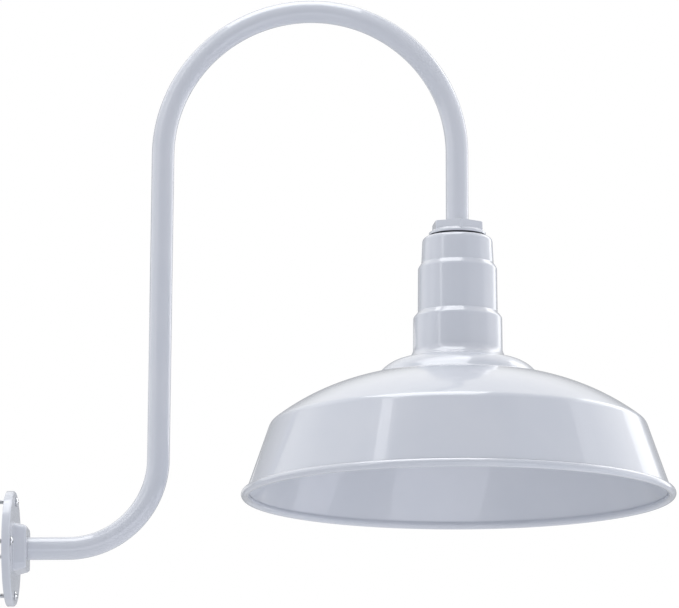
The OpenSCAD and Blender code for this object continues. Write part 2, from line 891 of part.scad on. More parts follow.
// the body flares smoothly from its upright collar until it runs in line with the globe
module lamp_housing() {
    collar_h = 4;
    collar_r = shell_in_r - 0.3;
    fall = housing_h - collar_h;
    spread = globe_mouth_r - collar_r;
    end_slope = fall * globe_cut / globe_mouth_r;
    steps = 12;
    flare = [for (i = [0 : steps])
        let (t = i / steps)
        [collar_r + spread * (3 * t * t - 2 * t * t * t) + end_slope * (t * t * t - t * t),
            housing_top - collar_h - fall * t]];
    color([0.93, 0.93, 0.92])
        at_shade()
            rotate_extrude()
                polygon(concat([[0, housing_top], [collar_r, housing_top]], flare, [[0, globe_top]]));
}

module led_board() {
    chip = 3;
    chip_ring = board_d / 2 - 5;
    color([0.9, 0.9, 0.85])
        at_shade()
            translate([0, 0, globe_top - board_t])
                union() {
                    cylinder(d = board_d, h = board_t);
                    for (i = [0 : 7])
                        rotate([0, 0, 45 * i])
                            translate([chip_ring - chip / 2, -chip / 2, -0.6])
                                cube([chip, chip, 1]);
                }
}

module lamp_globe() {
    color([0.97, 0.97, 0.95])
        at_shade()
            difference() {
                translate([0, 0, globe_z])
                    sphere(d = globe_d);
                translate([0, 0, globe_z])
                    sphere(d = globe_d - 2 * globe_wall);
                translate([-globe_d, -globe_d, globe_top])
                    cube(2 * globe_d);
            }
}

wall_flange();
flange_gasket();
flange_screws();
arm_set_screw();
gooseneck_arm();
hex_hub();
hub_washer();
hub_gasket();
shade();
inner_washer();
hub_locknut();
socket_bracket();
bracket_screws();
ground_screw();
socket_body();
screw_shell();
centre_contact();
terminal_screws();
wire_black();
wire_white();
wire_green();
lamp_base();
lamp_insulator();
lamp_contact();
lamp_housing();
led_board();
lamp_globe();
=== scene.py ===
import math

import bmesh
import bpy
from mathutils import Matrix, Vector


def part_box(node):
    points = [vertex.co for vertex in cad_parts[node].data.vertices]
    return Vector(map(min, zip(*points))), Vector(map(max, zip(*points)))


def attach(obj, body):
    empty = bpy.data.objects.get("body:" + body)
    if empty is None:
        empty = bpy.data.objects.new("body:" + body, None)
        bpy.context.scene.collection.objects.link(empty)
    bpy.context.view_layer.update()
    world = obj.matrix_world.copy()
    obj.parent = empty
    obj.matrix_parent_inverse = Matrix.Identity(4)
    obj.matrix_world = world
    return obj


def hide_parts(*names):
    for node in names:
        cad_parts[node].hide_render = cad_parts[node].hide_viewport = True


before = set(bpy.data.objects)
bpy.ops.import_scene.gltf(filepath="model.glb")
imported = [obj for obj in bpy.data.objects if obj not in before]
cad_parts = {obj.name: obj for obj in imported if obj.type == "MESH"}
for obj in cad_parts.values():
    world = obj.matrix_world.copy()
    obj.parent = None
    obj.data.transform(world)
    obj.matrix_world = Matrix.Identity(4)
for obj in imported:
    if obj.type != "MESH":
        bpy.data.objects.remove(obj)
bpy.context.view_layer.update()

MM = 0.001


# ---- sizes in millimetres, and angles in radians ----

# Outer sizes are the CAD's own; threads and the smallest roundings are only here.

# wall flange: a round plate with a square tapered boss
FLANGE_R, FLANGE_THICK = 54.0, 7.7
FLANGE_BEVEL, FLANGE_RIM = 1.2, 3.5
RECESS_DEPTH = 2.5
WIRE_PASSAGE_R = 8.0
BOSS_W, BOSS_H = 46.0, 11.9
BOSS_TAPER = math.tan(math.radians(14.5))
BOSS_CORNER, BOSS_TOP_CORNER = 8.0, 5.5
BOSS_CHAMFER = 1.4
SET_SCREW_R, SET_SCREW_SHARE = 2.55, 0.45
PIPE_GROOVE_W, PIPE_GROOVE_DEPTH = 0.8, 1.6

# wall screws; HOLE_GAP is also round the hub's barrel
SCREW_CIRCLE_R, SCREW_TURN_DEG = 44.45, 1.5
HOLE_GAP = 0.35
SCREW_LEN, SCREW_R, SCREW_ROOT_R = 25.0, 2.1, 1.66
SCREW_PITCH, SCREW_NECK_R, SCREW_TIP_R, SCREW_TIP_H = 0.8, 1.8, 1.3, 0.4
HEAD_R, HEAD_H, HEAD_EDGE = 4.5, 2.6, 0.3
CROSS_TOP, CROSS_FLOOR, CROSS_DEPTH = (5.2, 1.3), (1.9, 0.9), 1.9
SLOT_TOP_W, SLOT_FLOOR_W, SLOT_DEPTH = 1.15, 1.0, 1.25
HEAD_TURN, HEAD_TURN_STEP = 0.5, 1.9

# arm: one bent pipe
PIPE_R, PIPE_BORE_R = 10.65, 8.0
PIPE_START_X, PIPE_GAP = 4.0, 0.08
WALL_RUN, LOWER_BEND_R = 56.8, 84.3
UPRIGHT_LEAN, UPRIGHT_LEN = math.radians(0.5), 292.5
TOP_BEND_R, DROP_LEN = 139.3, 86.0

# hub on top of the shade
BARREL_R, BARREL_DROP = 14.0, 14.0
HUB_GASKET_R, HUB_GASKET_T = 25.0, 2.0
WASHER_R, WASHER_H = 26.9, 2.2
HEX_AF, HEX_H = 44.5, 9.4
HEX_FLANGE_R, HEX_FLANGE_H = 25.9, 2.3
HEX_FLANGE_SLOPE = math.tan(math.radians(41))
HEX_TURN = math.radians(8.6)
HEX_BASE = HUB_GASKET_T + WASHER_H
PIPE_GRIP = 18.4
HUB_PITCH, HUB_THREAD_DEPTH = 1.5, 0.65
LOCKNUT_AF, LOCKNUT_THREAD_DEPTH, LOCKNUT_GAP = 36.0, 0.6, 0.05

# lamp and socket
SHELL_IN_R = 13.2
LAMP_PITCH, LAMP_THREAD_DEPTH = 3.63, 0.83
COLLAR_H = 4.0
GLOBE_WALL = 1.2
TIP_GLASS_R, TIP_GLASS_NECK_R, TIP_GLASS_TOP_R = 9.4, 6.6, 5.2
SOCKET_HEAD_H, SOCKET_INSET, SOCKET_BORE_DEPTH = 9.0, 1.8, 30.0
SHELL_THREAD_DEPTH, SHELL_WALL, SHELL_FLOOR_T = 0.34, 0.14, 0.4
SHELL_FLOOR_RING = 5.4
FOOT_HOLE_X, FOOT_HOLE_R, FOOT_HOLE_DEPTH = 18.0, 1.8, 10
TERMINAL_HOLE_Y, TERMINAL_HOLE_R, TERMINAL_HOLE_DEPTH = 15.0, 1.65, 8

# the shade's section, downwards from its top
SHEET_T = 1.2
NECK_R, NECK_TOP_ROUND = 33.1, 5.0
STEP_1_H, STEP_2_H, STEP_3_H = 25.4, 46.8, 45.4
STEP_1_DRAFT, STEP_DRAFT = math.radians(2.8), math.radians(0.5)
SHOULDER_1_W, SHOULDER_1_SLOPE, SHOULDER_1_ROUND = 3.1, math.radians(34), 5.2
SHOULDER_2_W, SHOULDER_2_SLOPE, SHOULDER_2_ROUND = 4.2, math.radians(39), 4.1
SHOULDER_FILLET = 1.0
FLARE_FILLET, FLARE_ARC_R = 11.0, 33.7
CREASE_R, CREASE_DROP = 76.2, 16.1
DOME_BULGE = 6.9
RIDGE_R, RIDGE_DROP, RIDGE_ROUND = 176.3, 45.1, 12.0
RIM_R, RIM_DROP, BEAD_R = 203.2, 66.6, 3.8
RIM_NECK_ROUND, CURL_TURN = 3.0, math.radians(312)


# ---- small geometry helpers ----

def unit(angle):
    """The direction at an angle from the first axis, in radians."""
    return Vector((math.cos(angle), math.sin(angle)))


def side(angle):
    """The direction a quarter turn on from unit(angle)."""
    return Vector((-math.sin(angle), math.cos(angle)))


def angle_of(v):
    return math.atan2(v.y, v.x)


def arc(centre, radius, first, last, step=5.0):
    """Points on an arc; the angles are in radians and step is in degrees."""
    count = max(2, math.ceil(abs(math.degrees(last - first)) / step))
    return [Vector(centre) + radius * unit(first + (last - first) * i / count)
            for i in range(count + 1)]


def softened(corners, steps=4, closed=True):
    """An outline of (x, y, rounding) corners, each corner turned into a short arc."""
    out = []
    for i, (x, y, r) in enumerate(corners):
        here = Vector((x, y))
        if r == 0 or (not closed and i in (0, len(corners) - 1)):
            out.append(here)
            continue
        before = Vector(corners[i - 1][:2]) - here
        after = Vector(corners[(i + 1) % len(corners)][:2]) - here
        reach = min(r / math.tan(before.angle(after) / 2),
                    before.length * 0.48, after.length * 0.48)
        a, b = here + before.normalized() * reach, here + after.normalized() * reach
        for k in range(steps + 1):
            t = k / steps
            out.append((1 - t) ** 2 * a + 2 * t * (1 - t) * here + t * t * b)
    return out


def smooth(mesh, sharp):
    """Smooth shading, with sharp edges where faces meet at more than sharp degrees."""
    mesh.shade_smooth()
    mesh.set_sharp_from_angle(angle=math.radians(sharp))


def finish_mesh(name, verts, faces, sharp=35.0, weighted=True):
    """A smooth-shaded object from points in millimetres in the part's frame."""
    mesh = bpy.data.meshes.new(name)
    mesh.from_pydata([[c * MM for c in v] for v in verts], [], faces)
    mesh.update()
    bm = bmesh.new()
    bm.from_mesh(mesh)
    bmesh.ops.remove_doubles(bm, verts=bm.verts, dist=2e-7)
    bmesh.ops.recalc_face_normals(bm, faces=bm.faces)
    bm.to_mesh(mesh)
    bm.free()
    smooth(mesh, sharp)
    obj = bpy.data.objects.new(name, mesh)
    bpy.context.scene.collection.objects.link(obj)
    if weighted:
        even = obj.modifiers.new("even_normals", "WEIGHTED_NORMAL")
        even.keep_sharp = True
    return obj


def frame_at(origin, axis, across=(0, 1, 0)):
    """A matrix that takes local +Z to axis, with its origin in millimetres."""
    z = Vector(axis).normalized()
    x = Vector(across).cross(z).normalized()
    y = z.cross(x)
    return Matrix.Translation(Vector(origin)) @ Matrix((x, y, z)).transposed().to_4x4()


def lofted(loops, closed_ends=False, ring=False):
    """Faces that join a list of loops, each with the same number of points."""
    count = len(loops[0])
    verts = [p for loop in loops for p in loop]
    faces = []
    last = len(loops) if ring else len(loops) - 1
    for j in range(last):
        a, b = j * count, ((j + 1) % len(loops)) * count
        for i in range(count):
            k = (i + 1) % count
            faces.append((a + i, a + k, b + k, b + i))
    if closed_ends:
        faces.append(tuple(range(count))[::-1])
        faces.append(tuple(range((len(loops) - 1) * count, len(loops) * count)))
    return verts, faces


def turned_mesh(outline, place, segments=96, ring=True):
    """Points and faces of an outline of (radius, height) turned about place's local Z."""
    loops = []
    for r, z in outline:
        loops.append([place @ Vector((max(r, 0) * math.cos(a), max(r, 0) * math.sin(a), z))
                      for a in even_angles(segments)])
    return lofted(loops, ring=ring)


def turned(name, outline, place, segments=96, ring=True, sharp=35.0):
    return finish_mesh(name, *turned_mesh(outline, place, segments, ring), sharp=sharp)


def merged(*parts):
    """Several (points, faces) pairs as one."""
    verts, faces = [], []
    for v, f in parts:
        start = len(verts)
        verts += list(v)
        faces += [tuple(i + start for i in face) for face in f]
    return verts, faces


def tapered_bar(top, floor, depth, place, above=2):
    """A bar to cut with: (length, width) on local z = 0, and narrower at its floor."""
    loops = []
    for (length, width), z in ((floor, -depth), (top, 0), (top, above)):
        loops.append([place @ Vector((x * length / 2, y * width / 2, z))
                      for x, y in ((-1, -1), (1, -1), (1, 1), (-1, 1))])
    return lofted(loops, closed_ends=True)


def cut(obj, cutters, sharp=35.0):
    """Cuts closed meshes out of obj, applies the cuts and marks the sharp edges anew."""
    for verts, faces in cutters:
        tool = finish_mesh(obj.name + "_tool", verts, faces, weighted=False)
        step = obj.modifiers.new("cut", "BOOLEAN")
        step.operation = "DIFFERENCE"
        step.solver = "EXACT"
        step.object = tool
        bpy.context.view_layer.update()
        graph = bpy.context.evaluated_depsgraph_get()
        mesh = bpy.data.meshes.new_from_object(obj.evaluated_get(graph))
        obj.modifiers.remove(step)
        obj.data = mesh
        bpy.data.objects.remove(tool)
    smooth(obj.data, sharp)


def even_angles(count):
    return [2 * math.pi * i / count for i in range(count)]


def circle_loop(radius, z, place, angles):
    return [place @ Vector((*(radius * unit(a)), z)) for a in angles]


def rod_mesh(radius, low, high, place, segments=32):
    """A closed rod, used only to cut holes."""
    return lofted([circle_loop(radius, z, place, even_angles(segments)) for z in (low, high)],
                  closed_ends=True)


def thread_mesh(place, r_of, low, high, pitch, angles, per_turn):
    """Loops of a threaded wall; r_of(u, ease) is the radius at share u of the pitch.

    ease rises from 0 to 1 over run_out at each end, where the thread dies away.
    """
    rows = math.ceil((high - low) / pitch * per_turn)
    run_out = 0.6 * pitch
    loops = []
    for j in range(rows + 1):
        z = low + (high - low) * j / rows
        ease = max(0.0, min(1.0, (z - low) / run_out, (high - z) / run_out))
        loops.append([place @ Vector((*(r_of((z / pitch + a / (2 * math.pi)) % 1.0, ease)
                                        * unit(a)), z)) for a in angles])
    return loops


# ---- camera: the photograph's own view ----

FOCAL_PX, PHOTO_WIDTH_PX, SENSOR_MM = 5000.0, 679.0, 36.0
CAMERA_TARGET, CAMERA_DISTANCE = Vector((0.311048, 0.0, 0.230747)), 4.7079
CAMERA_YAW, CAMERA_RISE = math.radians(2.2399), math.radians(10.7177)


def add_camera():
    yaw, rise = CAMERA_YAW, CAMERA_RISE
    forward = Vector((-math.sin(yaw) * math.cos(rise), math.cos(yaw) * math.cos(rise),
                      math.sin(rise)))
    right = Vector((math.cos(yaw), math.sin(yaw), 0))
    up = right.cross(forward)
    data = bpy.data.cameras.new("camera")
    data.sensor_fit = "HORIZONTAL"
    data.sensor_width = SENSOR_MM
    data.lens = SENSOR_MM * FOCAL_PX / PHOTO_WIDTH_PX
    data.clip_end = 60.0
    camera = bpy.data.objects.new("camera", data)
    turn = Matrix((right, up, -forward)).transposed().to_4x4()
    camera.matrix_world = Matrix.Translation(CAMERA_TARGET - CAMERA_DISTANCE * forward) @ turn
    bpy.context.scene.collection.objects.link(camera)
    bpy.context.scene.camera = camera


add_camera()


# ---- materials ----

NOISE_RANGE = (0.35, 0.65)          # most of what a noise texture gives lies in it


class Graph:
    """A short way to write a material's nodes. Places and depths are in metres."""

    def __init__(self, name):
        self.material = bpy.data.materials.new(name)
        self.material.use_nodes = True
        self.nodes = self.material.node_tree.nodes
        self.links = self.material.node_tree.links
        self.shader = self.nodes["Principled BSDF"]
        self.place = self.nodes.new("ShaderNodeTexCoord").outputs["Object"]

    def set(self, **values):
        """Values on the shader's own sockets, with _ for a space in their names."""
        for key, value in values.items():
            self.shader.inputs[key.replace("_", " ")].default_value = value

    def noise(self, scale, detail=3.0, rough=0.5, stretch=None):
        node = self.nodes.new("ShaderNodeTexNoise")
        node.inputs["Scale"].default_value = scale
        node.inputs["Detail"].default_value = detail
        node.inputs["Roughness"].default_value = rough
        self.links.new(self.mapped(stretch), node.inputs["Vector"])
        return node.outputs["Fac"]

    def mapped(self, stretch):
        """The place on the piece, scaled by stretch along its axes."""
        if stretch is None:
            return self.place
        node = self.nodes.new("ShaderNodeMapping")
        node.inputs["Scale"].default_value = stretch
        self.links.new(self.place, node.inputs["Vector"])
        return node.outputs["Vector"]

    def spread(self, source, low, high, at=NOISE_RANGE):
        """source between the two shares of at, spread from low to high."""
        node = self.nodes.new("ShaderNodeMapRange")
        node.inputs["From Min"].default_value = at[0]
        node.inputs["From Max"].default_value = at[1]
        node.inputs["To Min"].default_value = low
        node.inputs["To Max"].default_value = high
        self.links.new(source, node.inputs["Value"])
        return node.outputs["Result"]

    def tint(self, source, low, high):
        """The base colour runs from low to high with source."""
        ramp = self.nodes.new("ShaderNodeValToRGB")
        for stop, position, colour in zip(ramp.color_ramp.elements, NOISE_RANGE, (low, high)):
            stop.position = position
            stop.color = (*colour, 1)
        self.links.new(source, ramp.inputs["Fac"])
        self.links.new(ramp.outputs["Color"], self.shader.inputs["Base Color"])

    def math(self, operation, *values):
        node = self.nodes.new("ShaderNodeMath")
        node.operation = operation
        for value, socket in zip(values, node.inputs):
            if isinstance(value, float):
                socket.default_value = value
            else:
                self.links.new(value, socket)
        return node.outputs[0]

    def at_x(self, level, reach):
        """1 where the surface is within reach of x = level, and 0 elsewhere."""
        split = self.nodes.new("ShaderNodeSeparateXYZ")
        self.links.new(self.place, split.inputs[0])
        return self.math("COMPARE", split.outputs["X"], level, reach)

    def darken(self, amount, colour):
        """The base colour so far gives way to colour by amount."""
        node = self.nodes.new("ShaderNodeMix")
        node.data_type = "RGBA"
        so_far = self.shader.inputs["Base Color"].links[0].from_socket
        self.links.new(amount, node.inputs["Factor"])
        self.links.new(so_far, node.inputs["A"])
        node.inputs["B"].default_value = (*colour, 1)
        self.links.new(node.outputs["Result"], self.shader.inputs["Base Color"])

    def rough(self, source, low, high, at=NOISE_RANGE):
        self.links.new(self.spread(source, low, high, at), self.shader.inputs["Roughness"])

    def bump(self, *layers):
        """Each layer is (height source, depth)."""
        normal = None
        for source, depth in layers:
            node = self.nodes.new("ShaderNodeBump")
            node.inputs["Strength"].default_value = 1.0
            node.inputs["Distance"].default_value = depth
            self.links.new(source, node.inputs["Height"])
            if normal:
                self.links.new(normal, node.inputs["Normal"])
            normal = node.outputs["Normal"]
        self.links.new(normal, self.shader.inputs["Normal"])
        self.normal = normal


def enamel(name, peel, cast=0.0, face_x=None):
    """Gloss white coat with faint orange peel; a casting's face at face_x has its grain too, with
    painted shade that greys the grain's pits.
    """
    g = Graph(name)
    g.set(IOR=1.5, Coat_Weight=1.0, Coat_Roughness=0.02, Coat_IOR=1.6)
    g.tint(g.noise(18, 2), (0.765, 0.785, 0.835), (0.79, 0.805, 0.85))
    g.rough(g.noise(60, 3), 0.2, 0.27)
    layers = [(g.noise(260, 2), peel), (g.noise(900, 2), peel * 0.15)]
    if cast:
        grain = g.math("MULTIPLY", g.noise(420, 5, 0.62), g.at_x(face_x, reach=0.0002))
        layers.insert(0, (grain, cast))
        g.set(Coat_Weight=0.7)
        g.rough(grain, 0.24, 0.6, (0.1, 0.45))
        # painted shade: the pits of the grain on the plate's face turn grey
        g.darken(g.spread(grain, 0, 0.42, (0.4, 0.62)), (0.42, 0.43, 0.44))
    g.bump(*layers)
    g.links.new(g.normal, g.shader.inputs["Coat Normal"])
    return g.material


def metal(name, low, high, rough, stretch=None, bump=0.000004, scale=700):
    """Bare or plated metal with fine tool marks along one direction."""
    g = Graph(name)
    g.set(Metallic=1.0)
    grain = g.noise(scale, 4, 0.6, stretch)
    g.tint(grain, low, high)
    g.rough(g.noise(120, 3), rough * 0.8, rough * 1.25)
    g.bump((grain, bump))
    return g.material


def plastic(name, low, high, rough, bump=0.000006, scale=500, **more):
    """Plastic, rubber or ceramic: slight differences in colour and gloss, and fine texture."""
    g = Graph(name)
    g.set(**more)
    g.tint(g.noise(35, 3), low, high)
    g.rough(g.noise(150, 3), rough * 0.85, rough * 1.2)
    g.bump((g.noise(scale, 4, 0.6), bump))
    return g.material


WHITE = enamel("white_enamel", peel=0.000004)
PIPE_WHITE = enamel("white_enamel_on_pipe", peel=0.000001)
CAST_WHITE = enamel("white_enamel_on_casting", peel=0.000008, cast=0.0001,
                    face_x=FLANGE_THICK * MM)
CHROME = metal("screw_chrome", (0.78, 0.79, 0.81), (0.86, 0.87, 0.88), 0.09, bump=0.000002)
# near-black metal for the deep faces of each screw head's cross and slot: painted shade in the
# recesses
RECESS_SHADE = metal("screw_recess_painted_shade", (0.03, 0.03, 0.032), (0.07, 0.07, 0.075), 0.5)
ZINC = metal("bright_zinc", (0.76, 0.77, 0.79), (0.84, 0.85, 0.87), 0.32)
STEEL = metal("plain_steel", (0.5, 0.51, 0.52), (0.66, 0.67, 0.69), 0.34, (1, 1, 6))
BRASS = metal("brass", (0.62, 0.45, 0.2), (0.78, 0.6, 0.3), 0.3, (1, 1, 4))
LAMP_METAL = metal("lamp_metal", (0.6, 0.6, 0.61), (0.74, 0.74, 0.75), 0.3, (1, 1, 5))
RUBBER = plastic("black_rubber", (0.02, 0.02, 0.022), (0.035, 0.035, 0.038), 0.75, 0.00003, 1400)
CERAMIC = plastic("ceramic", (0.83, 0.81, 0.76), (0.88, 0.865, 0.82), 0.12, 0.00001, 220)
GREEN_SCREW = plastic("green_screw", (0.05, 0.28, 0.1), (0.08, 0.36, 0.14), 0.35)
BLACK_WIRE = plastic("black_wire", (0.018, 0.018, 0.018), (0.03, 0.03, 0.03), 0.4)
WHITE_WIRE = plastic("white_wire", (0.74, 0.74, 0.71), (0.82, 0.82, 0.79), 0.4)
GREEN_WIRE = plastic("green_wire", (0.03, 0.3, 0.09), (0.05, 0.36, 0.12), 0.4)
LAMP_BLACK = plastic("lamp_black", (0.015, 0.015, 0.016), (0.03, 0.03, 0.03), 0.18)
LAMP_PLASTIC = plastic("lamp_plastic", (0.8, 0.8, 0.79), (0.85, 0.85, 0.84), 0.35)
BOARD = plastic("board", (0.74, 0.76, 0.7), (0.84, 0.85, 0.8), 0.5)
GLOBE = plastic("frosted_globe", (0.86, 0.86, 0.84), (0.9, 0.9, 0.885), 0.5, 0.000008, 900,
                Subsurface_Weight=0.3, Subsurface_Radius=(1.0, 0.95, 0.9),
                Subsurface_Scale=0.0006)


# ---- dressing ----

def dress(obj, material, slot, body, *nodes):
    """Gives a new piece its material and its body, and hides what it stands for; slot is not
    used.
    """
    obj.data.materials.clear()
    obj.data.materials.append(material)
    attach(obj, body)
    if nodes:
        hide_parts(*nodes)


# ---- shade: one spun sheet with a stepped neck, a dome, a skirt and a rolled rim ----

shade_low, shade_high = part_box("shade")
SHADE_X = (shade_low.x + shade_high.x) / 2 / MM
SHADE_TOP_Z = shade_high.z / MM
at_shade = frame_at((SHADE_X, 0, SHADE_TOP_Z), (0, 0, 1))


def wall_through(point, angle):
    """A wall in section: the angle of its outer normal, and its distance along that normal."""
    return angle, point.dot(unit(angle))


def moved(wall, by):
    """A wall moved along its outer normal."""
    return wall[0], wall[1] + by


def crossing(first, second):
    """The point where two walls cross."""
    (a, p), (b, q) = first, second
    return Vector((p * math.sin(b) - q * math.sin(a),
                   q * math.cos(a) - p * math.cos(b))) / math.sin(b - a)


def bend_between(first, second, radius, step):
    """The bend that joins two walls; a negative radius is a hollow bend."""
    centre = crossing(moved(first, -radius), moved(second, -radius))
    return centre, radius, first[0], second[0], step


def on_wall(wall, centre, radius):
    """The upper of a wall's two points at radius from centre."""
    across = wall[1] - centre.dot(unit(wall[0]))
    return (centre + across * unit(wall[0])
            + math.sqrt(radius * radius - across * across) * side(wall[0]))


def below_shoulder(corner, width, slope):
    """The walls of a sloped shoulder and of the step below it."""
    edge = corner + width * Vector((1, -1 / math.tan(slope)))
    return wall_through(corner, slope), wall_through(edge, STEP_DRAFT)


def shade_outline():
    """The sheet's section as (radius, height) points: outer face down, inner face back up."""
    level = math.radians(90)
    top_edge = Vector((NECK_R - NECK_TOP_ROUND, -NECK_TOP_ROUND))
    wall_1 = wall_through(top_edge + NECK_TOP_ROUND * unit(STEP_1_DRAFT), STEP_1_DRAFT)
    shoulder_1, wall_2 = below_shoulder(crossing(wall_1, (level, -STEP_1_H)),
                                        SHOULDER_1_W, SHOULDER_1_SLOPE)
    shoulder_2, wall_3 = below_shoulder(crossing(wall_2, (level, -STEP_1_H - STEP_2_H)),
                                        SHOULDER_2_W, SHOULDER_2_SLOPE)
    flare_top = -STEP_1_H - STEP_2_H - STEP_3_H
    crease = Vector((CREASE_R, flare_top - CREASE_DROP))
    flare_reach = math.sqrt(FLARE_ARC_R ** 2 - (FLARE_ARC_R - CREASE_DROP) ** 2)
    flare_at = Vector((CREASE_R - flare_reach, flare_top - FLARE_ARC_R))
    flare_foot = on_wall(moved(wall_3, FLARE_FILLET), flare_at, FLARE_ARC_R + FLARE_FILLET)
    flare_a = angle_of(flare_foot - flare_at)
    ridge = Vector((RIDGE_R, crease.y - RIDGE_DROP))
    chord = ridge - crease
    dome_r = (chord.length_squared / 4 + DOME_BULGE ** 2) / (2 * DOME_BULGE)
    dome_up = Vector((-chord.y, chord.x)).normalized()
    dome_at = (ridge + crease) / 2 - (dome_r - DOME_BULGE) * dome_up
    bead_at = Vector((RIM_R - BEAD_R, ridge.y - RIM_DROP))
    skirt_a = math.atan2(bead_at.x - ridge.x, ridge.y - bead_at.y)
    skirt = wall_through(bead_at, skirt_a)
    ridge_at = on_wall(moved(skirt, -RIDGE_ROUND), dome_at, dome_r - RIDGE_ROUND)
    ridge_a = angle_of(ridge_at - dome_at)
    reach = RIM_NECK_ROUND + BEAD_R - SHEET_T
    curl_a = skirt_a - math.acos(RIM_NECK_ROUND / reach)
    rim_neck_at = bead_at - reach * unit(curl_a)
    # each bend: centre, radius, first and last angle, and the step of its points in degrees
    bends = [
        (top_edge, NECK_TOP_ROUND, level, STEP_1_DRAFT, 9),
        bend_between(wall_1, shoulder_1, -SHOULDER_FILLET, 8),
        bend_between(shoulder_1, wall_2, SHOULDER_1_ROUND, 5),
        bend_between(wall_2, shoulder_2, -SHOULDER_FILLET, 8),
        bend_between(shoulder_2, wall_3, SHOULDER_2_ROUND, 5),
        (flare_foot, -FLARE_FILLET, STEP_DRAFT, flare_a, 6),
        (flare_at, FLARE_ARC_R, flare_a, angle_of(crease - flare_at), 3.5),
        (dome_at, dome_r, angle_of(crease - dome_at), ridge_a, 1.2),
        (ridge_at, RIDGE_ROUND, ridge_a, skirt_a, 5),
        (rim_neck_at, RIM_NECK_ROUND, skirt_a, curl_a, 10),
        (bead_at, SHEET_T - BEAD_R, curl_a, curl_a + CURL_TURN, 10),
    ]
    hole_r = BARREL_R + HOLE_GAP
    outer = [p for c, r, a, b, s in bends for p in arc(c, r, a, b, s)]
    inner = [p for c, r, a, b, s in bends for p in arc(c, r - SHEET_T, a, b, s)]
    return [Vector((hole_r, 0))] + outer + inner[::-1] + [Vector((hole_r, -SHEET_T))]


def add_shade():
    shell = turned("shade_shell", shade_outline(), at_shade, segments=240, sharp=28)
    dress(shell, WHITE, "white_enamel", "fixture", "shade")


add_shade()


# ---- arm: one bent pipe ----

def arm_path():
    """The pipe's centre line, from the wall end to the hub, as (x, z) points."""
    low_at = Vector((WALL_RUN, LOWER_BEND_R))
    ahead = Vector((math.sin(UPRIGHT_LEAN), math.cos(UPRIGHT_LEAN)))
    beside = Vector((math.cos(UPRIGHT_LEAN), -math.sin(UPRIGHT_LEAN)))
    foot = low_at + LOWER_BEND_R * beside
    head = foot + UPRIGHT_LEN * ahead
    top_at = head + TOP_BEND_R * beside
    low = arc(low_at, LOWER_BEND_R, -math.pi / 2, -UPRIGHT_LEAN, 2)
    top = arc(top_at, TOP_BEND_R, math.pi - UPRIGHT_LEAN, 0, 1.5)
    end = Vector((top_at.x + TOP_BEND_R, top_at.y - DROP_LEN))
    return [Vector((PIPE_START_X, 0))] + low + top + [end]


def swept(path, radius, segments=64):
    """Loops of a round tube that follows (x, z) points in the part's middle plane."""
    loops = []
    for i, p in enumerate(path):
        ahead = path[min(i + 1, len(path) - 1)] - path[max(i - 1, 0)]
        if 0 < i < len(path) - 1:
            ahead = ((path[i + 1] - p).normalized() + (p - path[i - 1]).normalized())
        ahead.normalize()
        out = Vector((ahead.y, 0, -ahead.x))
        loops.append([Vector((p.x, 0, p.y))
                      + radius * (math.cos(a) * out + math.sin(a) * Vector((0, 1, 0)))
                      for a in even_angles(segments)])
    return loops


def add_arm():
    path = arm_path()
    loops = swept(path, PIPE_R) + swept(path, PIPE_BORE_R)[::-1]
    tube = finish_mesh("arm_pipe", *lofted(loops, ring=True), sharp=50)
    dress(tube, PIPE_WHITE, "white_enamel", "fixture", "gooseneck_arm")


add_arm()


# ---- wall flange: a cast plate with a square tapered boss ----

at_flange = frame_at((0, 0, 0), (1, 0, 0))
PER_CORNER = 24                     # points of each corner, and of each quarter circle


def rounded_square(half, corner, z, place):
    """A square loop with rounded corners; half is half its side."""
    loop = []
    for k in range(4):
        centre = Vector(((1, -1, -1, 1)[k], (1, 1, -1, -1)[k]))
        for i in range(PER_CORNER + 1):
            a = math.radians(90 * k + 90 * i / PER_CORNER)
            p = (half - corner) * centre + corner * unit(a)
            loop.append(place @ Vector((p.x, p.y, z)))
    return loop


def round_to_match(radius, z, place):
    """A circle with the same number of points as rounded_square, corner to corner."""
    step = 90 / (PER_CORNER + 1)
    return [place @ Vector((*(radius * unit(math.radians(90 * k + (i + 0.5) * step))), z))
            for k in range(4) for i in range(PER_CORNER + 1)]


def screw_places():
    """The four wall screws: under their heads, pointing out of the wall."""
    places = []
    for i in range(4):
        a = math.radians(90 * i - SCREW_TURN_DEG)
        origin = (FLANGE_THICK, -SCREW_CIRCLE_R * math.sin(a), SCREW_CIRCLE_R * math.cos(a))
        places.append(frame_at(origin, (1, 0, 0))
                      @ Matrix.Rotation(HEAD_TURN + HEAD_TURN_STEP * i, 4, "Z"))
    return places


